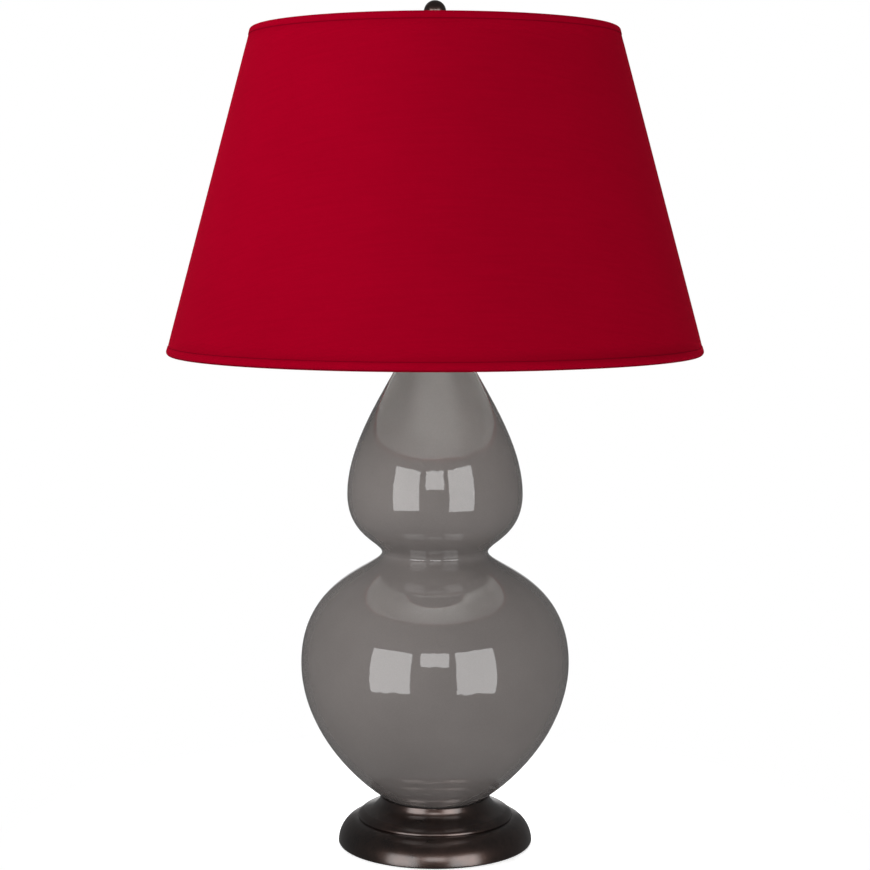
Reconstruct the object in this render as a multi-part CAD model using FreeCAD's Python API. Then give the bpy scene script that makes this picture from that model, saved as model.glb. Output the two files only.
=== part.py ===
import FreeCAD, Part
import math
import os

os.makedirs("parts", exist_ok=True)
V = FreeCAD.Vector

# Double gourd table lamp, in millimetres.
# The origin is the middle of the felt's underside, +Z is up and the front of the lamp faces -Y.
# Everything but the switch, the cord inlet, the harp and the spider is round about the Z axis.

# Clearances
free_gap = 0.3  # between pieces that move against each other
overrun = 1.0  # a cutter past what it cuts
touch = 0.01  # how closely an edge is matched when it is picked for a rounding
running_gap = 0.05  # radial, a shaft or a thread in its hole
hole_gap = 0.3  # radial, a clamping hole round the centre rod
glue_gap = 0.1  # the glue line between laminated shade pieces
weld_gap = 0.05
wire_gap = 0.7  # between a rim wire and the cover rolled round it
cup_gap = 0.7  # the gourd inside the lip of the base
foot_gap = 0.5  # beside cup_gap, the gourd's foot on the cup's floor
spot_gap = 0.2  # the inlet's head in its spot face

# Felt pad and cast base
felt_t = 1.5
felt_inset = 3.6
rim_lift = 0.8  # the metal edge over the table
rim_chamfer = 0.6  # inwards, and twice as high
base_r = 91.6
base_wall = 3.2
bulge_h = 24.8  # table to groove
bulge_run = 18.0  # how far the bulge reaches out from the groove
bead_reach = 1.2  # how far the bead stands out from the groove
bead_h = 6.8
bead_run = 6.6
cove_h = 13.6
cove_pull = 0.4  # how far the cove still leans out under the lip
groove_dip = 0.3  # the bulge's top arc under the groove
cup_depth = 6.0
lip_t = 1.8
seat_t = 3.5

# Cast-iron weight and the hardware that clamps it
weight_gap = 4.6  # to the shell round it
weight_t = 12.0
weight_hub_r = 18.0
plain_washer_r = 15.0
plain_washer_t = 1.6
lock_washer_r = 9.0
lock_washer_t = 1.8
lock_washer_slit = 1.5
hex_across = 14.3
hex_t = 4.8

# Cord inlet in the rear wall
inlet_z = 9.0
inlet_bore_r = 3.2
inlet_body_r = 4.8
inlet_head_r = 6.4
inlet_head_t = 1.6
inlet_head_round = 0.5
inlet_reach = 4.2  # in from the wall's inside
inlet_spot_depth = 1.4

# Centre rod, a threaded pipe that the cord runs up
rod_r = 4.9
rod_bore_r = 3.3
rod_tail = 2.0  # past the bottom nut

# Glazed gourd: radii and the heights between its turns
gasket_t = 1.0
foot_gasket_inset = 1.0
neck_gasket_inset = 0.5
gourd_wall = 5.0
foot_r = 41.5
foot_pull = (43.5, 26.2)
belly_r = 126.0
belly_h = 133.0
belly_pull_down = 54.4
belly_pull_up = 80.4
waist_r = 49.7
waist_h = 104.7
waist_pull_down = 13.1
waist_pull_up = 10.5
bulb_swell_r = 82.1
bulb_swell_h = 55.2
bulb_swell_pull_down = 39.9
bulb_swell_pull_up = 60.2
neck_r = 21.0
neck_h = 152.9
neck_pull = (3.2, 27.3)
foot_hole_r = 9.0

# Cap, neck tube and check ring over the gourd
cap_overhang = 3.5
cap_skirt = 4.0
cap_rise = 7.5
cap_hub_r = 9.5
cap_hub_pull = 2.0
sheet_t = 1.2
tube_r = 8.0
tube_h = 22.0
ring_r = 10.5
ring_t = 2.4

# Harp saddle, harp and ferrules
saddle_half = 29.0
saddle_w = 12.0
saddle_t = 2.0
prong_w = 6.0
prong_t = 1.5
prong_h = 13.0
harp_h = 227.0  # saddle floor to the bottom of the finial stud's collar
harp_half = 57.0
harp_wire_r = 2.0
harp_leg_h = 31.0
harp_foot_t = 1.8
harp_foot_lap = 3.0  # the flattened foot above the prong
harp_sweep = 30.0  # degrees that each bend of the harp turns
harp_first_bend = 60.0
harp_eye_r = 7.0
harp_eye_t = 4.6
harp_eye_round = 0.6
ferrule_bore_r = 4.3
ferrule_wall = 0.8
ferrule_h = 12.0
ferrule_flare = 0.5  # outwards, and twice as high

# Swivelling stud on the harp
stud_rivet_r = 3.1
stud_head_r = 5.0
stud_head_t = 1.6
stud_collar_r = 7.0
stud_collar_t = 1.3
stud_thread_r = 3.15
stud_thread_h = 10.0
stud_chamfer = 0.8

# Socket
socket_hub_r = 8.5
socket_hub_h = 6.0
socket_hub_round = 1.0
socket_floor_t = 0.5  # of the dome, over the hub
socket_dome_pull = 2.0
socket_cap_r = 17.4
socket_cap_h = 20.0
socket_shell_h = 44.0
socket_lap = 5.0  # shell inside the cap
shell_t = 0.7
liner_t = 0.8
liner_drop = 2.0  # under the shell's top
block_r = 14.4
block_h = 19.0
block_round = 0.8
block_flat_low = 3.0  # block's bottom to its flats
block_flat_high = 4.0  # flats to the block's top
set_screw_r = 1.6
set_screw_stand = 1.0  # past the hub
set_screw_slot = 0.6
set_screw_slot_depth = 0.8
screw_shell_t = 0.5
screw_shell_r = 13.7
screw_shell_h = 21.0
contact_w = 6.0
contact_t = 0.8
contact_rise = 3.0
terminal_r = 3.1
terminal_head_t = 1.6
terminal_flat = 2.6  # how deep the flats under the screws are cut
terminal_slot = 0.8
terminal_slot_depth = 0.7

# Turn switch
knob_z_in_block = 8.0
shaft_r = 1.6
shaft_depth = 7.0  # into the block
shaft_grip = 5.0  # into the knob
knob_gap = 1.6  # knob to socket
knob_r = 5.2
knob_l = 13.0
knob_round = 0.8
knob_ribs = 12
flute_start = 2.0  # knob's foot to its flutes

# Bulb
bulb_cap_r = 12.9
bulb_cap_h = 25.0
bulb_cap_shoulder = 2.0  # height of the shoulder's edge
bulb_cap_taper = 5.0  # height where the thread's full radius starts
bulb_glass_r = 30.0
bulb_h = 104.0
bulb_glass_t = 0.9
bulb_neck_pull = 14.0
bulb_swell_pull = 20.0
bulb_tip_r = 4.8
bulb_tip_t = 1.6
bulb_tip_chamfer = 1.0

# Shade and spider
shade_height = 295.7
shade_top_r = 169.0
shade_bottom_r = 247.3
cover_t = 0.8
shade_liner_t = 1.0
shade_wire_r = 1.3
hem_tail = 9.0
spider_arms = 3
spider_rise = 7.3  # washer up to the top wire, middle to middle
spider_wire_r = 1.5
spider_bend_r = 8.0
spider_washer_r = 9.5
spider_washer_t = 1.8
spider_slope = 40.0  # degrees

# Finial
finial_ball_r = 10.2
finial_foot_r = 7.4
finial_foot_t = 2.4
finial_waist_r = 4.9
finial_waist_pull = 2.0
finial_edge = 0.8  # how far the foot and the collar round out
finial_cove = 0.4
finial_cove_h = 0.6
finial_collar_t = 1.6
finial_h = 35.4

# Heights that follow, from the table up
groove_z = bulge_h
bead_top_z = groove_z + bead_h
lip_z = bead_top_z + cove_h
seat_z = lip_z - cup_depth
foot_z = seat_z + gasket_t
belly_z = foot_z + belly_h
waist_z = belly_z + waist_h
bulb_swell_z = waist_z + bulb_swell_h
neck_z = bulb_swell_z + neck_h
weight_top_z = seat_z - seat_t
weight_z = weight_top_z - weight_t - (bead_top_z - groove_z)
cap_z = neck_z + gasket_t
cap_top_z = cap_z + cap_rise
ring_z = cap_top_z + tube_h
saddle_z = ring_z + ring_t
saddle_floor_z = saddle_z + saddle_t
socket_z = saddle_floor_z + hex_t
shell_z = socket_z + socket_cap_h - socket_lap
shell_top_z = shell_z + socket_shell_h
block_z = shell_z + 1.5 * shell_t
block_top_z = block_z + block_h
knob_z = block_z + knob_z_in_block
contact_top_z = block_top_z + contact_rise
bulb_z = contact_top_z + free_gap
harp_top_z = saddle_floor_z + harp_h
harp_wire_z = harp_top_z - free_gap - harp_eye_t / 2
stud_seat_z = harp_top_z + stud_collar_t
washer_z = stud_seat_z + free_gap
finial_z = washer_z + spider_washer_t + free_gap
shell_r = socket_cap_r - 2 * shell_t - running_gap
clamp_r = rod_r + hole_gap
thread_r = rod_r + running_gap
groove_r = base_r - bulge_run - bead_reach
weight_r = groove_r - base_wall - bead_run - weight_gap
knob_start = socket_cap_r + knob_gap


def bezier_point(curve, t):
    """Point at t on a cubic given as its four (r, z) controls."""
    a, b, c, d = curve
    s = 1 - t
    weights = (s ** 3, 3 * s * s * t, 3 * s * t * t, t ** 3)
    return [sum(w * p[i] for w, p in zip(weights, (a, b, c, d))) for i in (0, 1)]


def radius_at(curve, z):
    """Radius where a rising cubic passes the height z."""
    low, high = 0.0, 1.0
    for _ in range(40):
        middle = (low + high) / 2
        if bezier_point(curve, middle)[1] < z:
            low = middle
        else:
            high = middle
    return bezier_point(curve, low)[0]


def wire_of(start, steps):
    """Closed (r, z) outline. A step of one point is a line, of two an arc, of three a cubic."""
    edges = []
    here = V(start[0], 0, start[1])
    for step in list(steps) + [[start]]:
        ends = [V(r, 0, z) for r, z in step]
        if here.distanceToPoint(ends[-1]) < 1e-7:
            continue
        if len(ends) == 1:
            edges.append(Part.LineSegment(here, ends[0]).toShape())
        elif len(ends) == 2:
            edges.append(Part.Arc(here, ends[0], ends[1]).toShape())
        else:
            curve = Part.BezierCurve()
            curve.setPoles([here] + ends)
            edges.append(curve.toShape())
        here = ends[-1]
    return Part.Wire(edges)


def turned(start, *steps):
    """Solid of revolution about Z from an (r, z) outline."""
    return Part.Face(wire_of(start, steps)).revolve(V(0, 0, 0), V(0, 0, 1), 360)


def ring(inner, outer, z, height):
    """Flat ring, or a disc where inner is 0."""
    body = Part.makeCylinder(outer, height, V(0, 0, z))
    if inner > 0:
        body = body.cut(Part.makeCylinder(inner, height, V(0, 0, z)))
    return body


def hexagon(bore, across, z, height):
    """Hex nut with chamfered corners."""
    corner = across / math.sqrt(3)
    turns = [k * math.pi / 3 for k in range(7)]
    points = [V(corner * math.cos(turn), corner * math.sin(turn), z) for turn in turns]
    prism = Part.Face(Part.makePolygon(points)).extrude(V(0, 0, height))
    slope = corner - across / 2
    rounding = turned((0, z), [(across / 2, z)], [(corner, z + slope)], [(corner, z + height - slope)],
                      [(across / 2, z + height)], [(0, z + height)])
    return prism.common(rounding).cut(Part.makeCylinder(bore, height, V(0, 0, z)))


def box(x0, x1, y0, y1, z0, z1):
    return Part.makeBox(x1 - x0, y1 - y0, z1 - z0, V(x0, y0, z0))


def rod_along(edges, radius):
    """Round wire swept along edges that meet in tangents."""
    path = Part.Wire(edges)
    first = path.Edges[0]
    at = first.valueAt(first.FirstParameter)
    along = first.tangentAt(first.FirstParameter)
    section = Part.Wire([Part.makeCircle(radius, at, along)])
    return path.makePipeShell([section], True, False)


def mirrored_x(shape):
    return shape.mirror(V(0, 0, 0), V(1, 0, 0))


def save(name, shape):
    shape.removeSplitter().exportStep("parts/%s.step" % name)


# ---------------------------------------------------------------- gourd outline

def gourd_curves(inset):
    """The four cubics of the gourd from foot to neck, moved inwards by inset."""
    foot = (foot_r - inset, foot_z + inset)
    belly = belly_r - inset
    waist = waist_r - inset
    swell = bulb_swell_r - inset
    neck = neck_r - inset
    return [
        [foot, (foot[0] + foot_pull[0], foot[1] + foot_pull[1]), (belly, belly_z - belly_pull_down),
         (belly, belly_z)],
        [(belly, belly_z), (belly, belly_z + belly_pull_up), (waist, waist_z - waist_pull_down),
         (waist, waist_z)],
        [(waist, waist_z), (waist, waist_z + waist_pull_up), (swell, bulb_swell_z - bulb_swell_pull_down),
         (swell, bulb_swell_z)],
        [(swell, bulb_swell_z), (swell, bulb_swell_z + bulb_swell_pull_up),
         (neck + neck_pull[0], neck_z - neck_pull[1]), (neck, neck_z)],
    ]


lip_inner_r = radius_at(gourd_curves(0)[0], lip_z) + cup_gap
lip_r = lip_inner_r + lip_t


# ---------------------------------------------------------------- base

def felt_pad():
    return ring(0, base_r - felt_inset, 0, felt_t)


def base_shell():
    """Cast shell: bulge, groove, bead, cove and the lipped cup that the gourd stands in."""
    bead_r = groove_r + bead_reach
    bead_in_r = bead_r - bead_run
    cup_r = foot_r + cup_gap + foot_gap
    inner_r = base_r - base_wall
    inner_groove_r = groove_r - base_wall
    inner_bead_z = groove_z + 0.5 * bead_h
    bulge_mid = groove_z - groove_dip
    outside = [
        [(base_r, 0.5 * bulge_h), (base_r - 0.45 * bulge_run, bulge_mid), (groove_r, groove_z)],
        [(bead_r, groove_z + 0.22 * bead_h), (bead_r - 0.22 * bead_run, groove_z + 0.62 * bead_h),
         (bead_in_r, bead_top_z)],
        [(bead_in_r - 0.45 * (bead_in_r - lip_r), bead_top_z + 0.16 * cove_h),
         (lip_r + cove_pull, lip_z - 0.75 * cove_h), (lip_r, lip_z - 0.5 * lip_t)],
        [(lip_r - 0.15 * lip_t, lip_z - 0.15 * lip_t), (lip_r - 0.5 * lip_t, lip_z)],
    ]
    inside = [
        [(lip_inner_r, lip_z)],
        [(cup_r, seat_z)],
        [(clamp_r, seat_z)],
        [(clamp_r, weight_top_z)],
        [(lip_r - 4 * lip_t, weight_top_z)],
        [(inner_groove_r - bead_run, inner_bead_z)],
        [(inner_groove_r, groove_z - base_wall)],
        [(inner_r - 0.5 * bulge_run, groove_z - base_wall), (inner_r, 0.5 * bulge_h), (inner_r, felt_t)],
        [(base_r - felt_inset, felt_t)],
    ]
    shell = turned((base_r - felt_inset, rim_lift), [(base_r - rim_chamfer, rim_lift)],
                   [(base_r, rim_lift + 2 * rim_chamfer)], *outside, *inside)
    spot = Part.makeCylinder(inlet_head_r + spot_gap, base_r, V(0, inlet_spot_y(), inlet_z), V(0, 1, 0))
    hole = Part.makeCylinder(inlet_body_r, base_r, V(0, 0, inlet_z), V(0, 1, 0))
    return shell.cut(spot).cut(hole)


def inlet_spot_y():
    """Plane of the spot face that the inlet's head sits on."""
    return base_r - inlet_spot_depth


def cord_inlet():
    """Moulded bushing pressed into the rear wall, with a head outside and a through bore."""
    spot = inlet_spot_y()
    lip_back = base_r - base_wall - inlet_reach
    along = V(0, 1, 0)
    body = Part.makeCylinder(inlet_body_r, spot - lip_back, V(0, lip_back, inlet_z), along)
    head = Part.makeCylinder(inlet_head_r, inlet_head_t, V(0, spot, inlet_z), along)
    edges = [e for e in head.Edges if e.BoundBox.YMin > spot + 0.9 * inlet_head_t]
    head = head.makeFillet(inlet_head_round, edges)
    bore = Part.makeCylinder(inlet_bore_r, spot - lip_back + inlet_head_t, V(0, lip_back, inlet_z), along)
    return body.fuse(head).cut(bore)


def base_weight():
    """Cast-iron slug under the seat, with a rounded flange and a hub."""
    flange_top = weight_z + weight_t
    corner = 0.25 * weight_t
    return turned((clamp_r, weight_z), [(weight_r, weight_z)], [(weight_r, flange_top - corner)],
                  [(weight_r - 0.3 * corner, flange_top - 0.3 * corner), (weight_r - corner, flange_top)],
                  [(weight_hub_r + corner, flange_top)],
                  [(weight_hub_r + 0.3 * corner, flange_top + 0.3 * corner),
                   (weight_hub_r, flange_top + corner)],
                  [(weight_hub_r, weight_top_z)], [(clamp_r, weight_top_z)])


def lock_washer():
    z = weight_z - plain_washer_t - lock_washer_t
    washer = ring(clamp_r, lock_washer_r, z, lock_washer_t)
    half = lock_washer_slit / 2
    slit = box(-half, half, 0, lock_washer_r + overrun, z, z + lock_washer_t)
    return washer.cut(slit)


def build_base():
    washer_bottom = weight_z - plain_washer_t
    nut_z = washer_bottom - lock_washer_t - hex_t
    rod_z = nut_z - rod_tail
    save("felt_pad", felt_pad())
    save("base_shell", base_shell())
    save("base_weight", base_weight())
    save("weight_washer", ring(clamp_r, plain_washer_r, washer_bottom, plain_washer_t))
    save("lock_washer", lock_washer())
    save("base_nut", hexagon(thread_r, hex_across, nut_z, hex_t))
    save("cord_inlet", cord_inlet())
    rod_top = socket_z + socket_hub_h
    save("centre_rod", ring(rod_bore_r, rod_r, rod_z, rod_top - rod_z))
    save("seat_gasket", ring(foot_hole_r, foot_r - foot_gasket_inset, seat_z, gasket_t))


# ---------------------------------------------------------------- gourd and neck hardware

def gourd_body():
    """Slip-cast double gourd, hollow, with a drilled foot and an open neck."""
    outer = gourd_curves(0)
    inner = gourd_curves(gourd_wall)
    steps = [curve[1:] for curve in outer]
    steps.append([inner[3][3]])
    steps += [[curve[2], curve[1], curve[0]] for curve in reversed(inner)]
    steps += [[(foot_hole_r, foot_z + gourd_wall)], [(foot_hole_r, foot_z)]]
    return turned(outer[0][0], *steps)


def vase_cap():
    """Spun cap over the neck: a skirt outside the rim and a low dome up to the tube."""
    outer = neck_r + cap_overhang
    inner = outer - sheet_t
    return turned((clamp_r, cap_z), [(inner, cap_z)], [(inner, cap_z - cap_skirt)],
                  [(outer, cap_z - cap_skirt)], [(outer, cap_z + 0.5 * sheet_t)],
                  [(outer - 0.3 * sheet_t, cap_z + 1.2 * sheet_t),
                   (outer - sheet_t, cap_z + 1.5 * sheet_t)],
                  [(0.6 * outer, cap_z + 2 * sheet_t), (cap_hub_r + cap_hub_pull, cap_top_z),
                   (cap_hub_r, cap_top_z)],
                  [(clamp_r, cap_top_z)])


def neck_tube():
    bulge = 0.12 * tube_r
    return turned((clamp_r, cap_top_z), [(tube_r, cap_top_z)],
                  [(tube_r + bulge, (cap_top_z + ring_z) / 2), (tube_r, ring_z)], [(clamp_r, ring_z)])


def check_ring():
    edge = ring_t / 2
    return turned((clamp_r, ring_z), [(ring_r - edge, ring_z)],
                  [(ring_r, ring_z + edge), (ring_r - edge, saddle_z)], [(clamp_r, saddle_z)])


def harp_saddle():
    """Stamped strap, narrow at its ends, with two upturned prongs for the harp's feet."""
    end = saddle_half + prong_t
    tab = end - ferrule_bore_r - ferrule_wall - prong_t
    shoulder = tab - (saddle_w - prong_w) / 2
    plan = [(shoulder, saddle_w / 2), (tab, prong_w / 2), (end, prong_w / 2)]
    plan += [(x, -y) for x, y in reversed(plan)]
    plan += [(-x, -y) for x, y in plan]
    points = [V(x, y, saddle_z) for x, y in plan + plan[:1]]
    strap = Part.Face(Part.makePolygon(points)).extrude(V(0, 0, saddle_t))
    top = saddle_floor_z + prong_h
    prong = box(saddle_half, end, -prong_w / 2, prong_w / 2, saddle_z, top)
    corners = [e for e in prong.Edges
               if e.BoundBox.ZMin > top - touch and e.BoundBox.XLength > 0.9 * prong_t]
    prong = prong.makeFillet(0.3 * prong_w, corners)
    hole = Part.makeCylinder(clamp_r, saddle_t, V(0, 0, saddle_z))
    return strap.fuse(prong).fuse(mirrored_x(prong)).cut(hole)


def build_neck():
    save("gourd_body", gourd_body())
    save("neck_gasket", ring(clamp_r, neck_r - neck_gasket_inset, neck_z, gasket_t))
    save("vase_cap", vase_cap())
    save("neck_tube", neck_tube())
    save("check_ring", check_ring())
    save("harp_saddle", harp_saddle())
    save("saddle_nut", hexagon(thread_r, hex_across, saddle_floor_z, hex_t))


# ---------------------------------------------------------------- socket and switch

def socket_cap():
    """Spun cap of the socket, screwed on the rod, with a hole for its set screw."""
    top = socket_z + socket_cap_h
    hub_top = socket_z + socket_hub_h
    dome = 0.6 * (socket_cap_h - socket_hub_h)
    outer = socket_cap_r
    inner = outer - shell_t
    floor = hub_top + socket_floor_t
    cap = turned((thread_r, socket_z), [(socket_hub_r, socket_z)],
                 [(socket_hub_r, hub_top - socket_hub_round)],
                 [(outer - socket_dome_pull, hub_top), (outer, hub_top + 0.3 * dome),
                  (outer, hub_top + dome)],
                 [(outer, top)], [(inner, top)], [(inner, hub_top + dome)],
                 [(inner, hub_top + 0.4 * dome), (inner - 1.5 * socket_dome_pull, floor + shell_t),
                  (socket_hub_r - socket_hub_round, floor)],
                 [(thread_r, floor)])
    middle = V(0, 0, socket_z + socket_hub_h / 2)
    return cap.cut(Part.makeCylinder(set_screw_r + running_gap, outer, middle, V(0, 1, 0)))


def set_screw():
    """Slotted grub screw that locks the cap on the rod."""
    z = socket_z + socket_hub_h / 2
    start = rod_r + running_gap
    end = socket_hub_r + set_screw_stand
    half = set_screw_slot / 2
    screw = Part.makeCylinder(set_screw_r, end - start, V(0, start, z), V(0, 1, 0))
    return screw.cut(box(-set_screw_r, set_screw_r, end - set_screw_slot_depth, end, z - half, z + half))


def shaft_way(radius):
    """Clearance cylinder along the switch shaft, from the axis out to the front."""
    return Part.makeCylinder(radius, 2 * socket_cap_r, V(0, 0, knob_z), V(0, -1, 0))


def socket_sleeve(outer, wall, z, top):
    """Thin sleeve with a round hole for the switch shaft."""
    return ring(outer - wall, outer, z, top - z).cut(shaft_way(shaft_r + 2 * free_gap))


def socket_block():
    """Moulded block of the switch and the terminals: a drum with two flats and the shaft's bore."""
    block = ring(0, block_r, block_z, block_h)
    block = block.makeFillet(block_round, [e for e in block.Edges if e.BoundBox.ZLength < touch])
    keep = block_r - terminal_flat
    low = block_z + block_flat_low
    high = block_top_z - block_flat_high
    for side in (keep, -keep - block_r):
        block = block.cut(box(side, side + block_r, -block_r, block_r, low, high))
    end = V(0, shaft_depth - block_r, knob_z)
    return block.cut(Part.makeCylinder(shaft_r + running_gap, block_r, end, V(0, -1, 0)))


def screw_shell():
    """Threaded shell of the socket, with a floor that leaves the centre contact free."""
    z = block_top_z
    inner = screw_shell_r - screw_shell_t
    floor = z + screw_shell_t
    return turned((contact_w, z), [(screw_shell_r, z)], [(screw_shell_r, z + screw_shell_h)],
                  [(inner, z + screw_shell_h)], [(inner, floor)], [(contact_w, floor)])


def centre_contact():
    """Bent brass tongue: a foot on the block, a rise and the raised pad under the bulb's tip."""
    half = contact_w / 3
    z = block_top_z
    foot = z + contact_t
    pad = contact_top_z - contact_t
    profile = [(-half, z), (half, z), (half, foot), (half - contact_t, foot), (half - contact_t, pad),
               (half + contact_t, pad), (half + contact_t, contact_top_z), (-half, contact_top_z),
               (-half, pad), (half - 2 * contact_t, pad), (half - 2 * contact_t, foot), (-half, foot)]
    points = [V(x, -half, h) for x, h in profile + profile[:1]]
    return Part.Face(Part.makePolygon(points)).extrude(V(0, 2 * half, 0))


def terminal_screws():
    """Two slotted binding screws on the block's flats."""
    flat = block_r - terminal_flat
    z = (block_z + block_flat_low + block_top_z - block_flat_high) / 2
    half = terminal_slot / 2
    head = Part.makeCylinder(terminal_r, terminal_head_t, V(flat, 0, z), V(1, 0, 0))
    out = flat + terminal_head_t
    head = head.cut(box(out - terminal_slot_depth, out, -terminal_r, terminal_r, z - half, z + half))
    return Part.makeCompound([head, mirrored_x(head)])


def switch_shaft():
    start = block_r - shaft_depth + free_gap
    length = knob_start + shaft_grip - start
    return Part.makeCylinder(shaft_r, length, V(0, -start, knob_z), V(0, -1, 0))


def switch_knob():
    """Ribbed tapered knob with a blind hole for the shaft."""
    foot = V(0, -knob_start, knob_z)
    out = V(0, -1, 0)
    knob = Part.makeCone(knob_r, 0.88 * knob_r, knob_l, foot, out)
    knob = knob.makeFillet(knob_round,
                           [e for e in knob.Edges if e.BoundBox.YMax < touch - knob_start - knob_l])
    flute_r = 0.14 * knob_r
    for k in range(knob_ribs):
        turn = 2 * math.pi * k / knob_ribs
        reach = knob_r + 0.35 * flute_r
        side = V(reach * math.cos(turn), -knob_start - flute_start, knob_z + reach * math.sin(turn))
        knob = knob.cut(Part.makeCylinder(flute_r, knob_l, side, out))
    return knob.cut(Part.makeCylinder(shaft_r + running_gap, shaft_grip + running_gap, foot, out))


def build_socket():
    liner_outer = shell_r - running_gap
    save("socket_cap", socket_cap())
    save("set_screw", set_screw())
    save("socket_shell", socket_sleeve(shell_r + shell_t, shell_t, shell_z, shell_top_z))
    save("socket_liner", socket_sleeve(liner_outer, liner_t, shell_z, shell_top_z - liner_drop))
    save("socket_block", socket_block())
    save("screw_shell", screw_shell())
    save("centre_contact", centre_contact())
    save("terminal_screws", terminal_screws())
    save("switch_shaft", switch_shaft())
    save("switch_knob", switch_knob())


# ---------------------------------------------------------------- bulb

def bulb_glass():
    """Pear-shaped envelope, hollow, cemented on its cap."""
    base = bulb_z + bulb_tip_t + bulb_cap_h
    top = bulb_z + bulb_h
    centre = top - bulb_glass_r
    neck = bulb_cap_r

    def outline(inset, floor):
        radius = bulb_glass_r - inset
        diagonal = radius * math.sqrt(0.5)
        return [(neck - inset, floor), (neck - inset, base + bulb_neck_pull),
                (radius, centre - bulb_swell_pull), (radius, centre),
                (diagonal, centre + diagonal), (0, centre + radius)]

    out = outline(0, base)
    into = outline(bulb_glass_t, base + bulb_glass_t)
    return turned((0, base), [out[0]], out[1:4], out[4:6], [into[5]], [into[4], into[3]],
                  [into[2], into[1], into[0]], [(0, base + bulb_glass_t)])


def build_bulb():
    shoulder = bulb_z + bulb_tip_t
    cap = turned((0, shoulder), [(bulb_tip_r, shoulder)],
                 [(0.8 * bulb_cap_r, shoulder + bulb_cap_shoulder)],
                 [(bulb_cap_r, shoulder + bulb_cap_taper)], [(bulb_cap_r, shoulder + bulb_cap_h)],
                 [(0, shoulder + bulb_cap_h)])
    tip = turned((0, bulb_z), [(bulb_tip_r - bulb_tip_chamfer, bulb_z)],
                 [(bulb_tip_r, bulb_z + bulb_tip_chamfer)], [(bulb_tip_r, shoulder)], [(0, shoulder)])
    save("bulb_tip", tip)
    save("bulb_cap", cap)
    save("bulb_glass", bulb_glass())


# ---------------------------------------------------------------- harp

def harp_leg_x():
    """Middle of the harp's leg, from the prong that its foot stands against."""
    return saddle_half + prong_t + free_gap + harp_foot_t / 2


def harp_path():
    """Right half of the harp's wire: a straight leg and four arcs that meet in tangents."""
    turn = math.radians(harp_sweep)
    flat = 1 - math.cos(turn)
    leg_x = harp_leg_x()
    leg_top = saddle_floor_z + harp_leg_h
    lower = (harp_half - leg_x) / flat
    wide_z = leg_top + lower * math.sin(turn)
    rise = harp_wire_z - wide_z
    # The upper pair of radii follows from its reach and its rise
    crown = (rise * flat - harp_half * math.sin(turn)) / (flat - math.sin(turn))
    shoulder = (harp_half - crown * math.cos(turn)) / flat
    centres = [(leg_x + harp_first_bend, leg_top, harp_first_bend, math.pi, math.pi - turn),
               (harp_half - (lower - harp_first_bend), wide_z, lower - harp_first_bend, -turn, 0),
               (harp_half - shoulder, wide_z, shoulder, 0, turn),
               (0, harp_wire_z - crown, crown, turn, math.pi / 2)]
    edges = [Part.LineSegment(V(leg_x, 0, saddle_floor_z + prong_h), V(leg_x, 0, leg_top)).toShape()]
    for x, z, radius, start, end in centres:
        angles = (start, (start + end) / 2, end)
        points = [V(x + radius * math.cos(a), 0, z + radius * math.sin(a)) for a in angles]
        edges.append(Part.Arc(*points).toShape())
    return edges


def harp_loop():
    """Bent wire harp with flattened feet and a drilled eye for the swivelling stud."""
    side = rod_along(harp_path(), harp_wire_r)
    leg_x = harp_leg_x()
    bottom = saddle_floor_z + free_gap
    foot = box(leg_x - harp_foot_t / 2, leg_x + harp_foot_t / 2, -prong_w / 2, prong_w / 2, bottom,
               saddle_floor_z + prong_h + harp_foot_lap)
    ends = [e for e in foot.Edges if e.BoundBox.XLength > 0.9 * harp_foot_t]
    foot = foot.makeFillet(0.25 * prong_w, ends)
    half = side.fuse(foot)
    eye = Part.makeCylinder(harp_eye_r, harp_eye_t, V(0, 0, harp_wire_z - harp_eye_t / 2))
    eye = eye.makeFillet(harp_eye_round, [e for e in eye.Edges if e.BoundBox.ZLength < touch])
    hole = Part.makeCylinder(stud_rivet_r + running_gap, 2 * harp_eye_t, V(0, 0, harp_wire_z - harp_eye_t))
    return half.fuse(mirrored_x(half)).fuse(eye).cut(hole)


def ferrule():
    """Sleeve that slides down over a prong and a foot and locks them."""
    bottom = saddle_floor_z + free_gap
    top = bottom + ferrule_h
    outer = ferrule_bore_r + ferrule_wall
    sleeve = turned((ferrule_bore_r, bottom), [(outer, bottom)], [(outer, top - 2 * ferrule_flare)],
                    [(outer + ferrule_flare, top - 1.2 * ferrule_flare), (outer, top)],
                    [(ferrule_bore_r, top)])
    sleeve.translate(V(saddle_half + prong_t + free_gap / 2, 0, 0))
    return sleeve


def harp_stud():
    """Rivet, collar and thread in one turned piece, free to swivel in the harp's eye."""
    eye_bottom = harp_wire_z - harp_eye_t / 2
    head_top = eye_bottom - free_gap
    top = stud_seat_z + stud_thread_h
    return turned((0, head_top - stud_head_t), [(0.6 * stud_head_r, head_top - stud_head_t)],
                  [(stud_head_r, head_top - 0.5 * stud_head_t)], [(stud_head_r, head_top)],
                  [(stud_rivet_r, head_top)], [(stud_rivet_r, harp_top_z)], [(stud_collar_r, harp_top_z)],
                  [(stud_collar_r, stud_seat_z)], [(stud_thread_r, stud_seat_z)],
                  [(stud_thread_r, top - stud_chamfer)], [(stud_thread_r - stud_chamfer, top)], [(0, top)])


def build_harp():
    save("harp_loop", harp_loop())
    save("right_ferrule", ferrule())
    save("left_ferrule", mirrored_x(ferrule()))
    save("harp_stud", harp_stud())


# ---------------------------------------------------------------- shade

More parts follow.
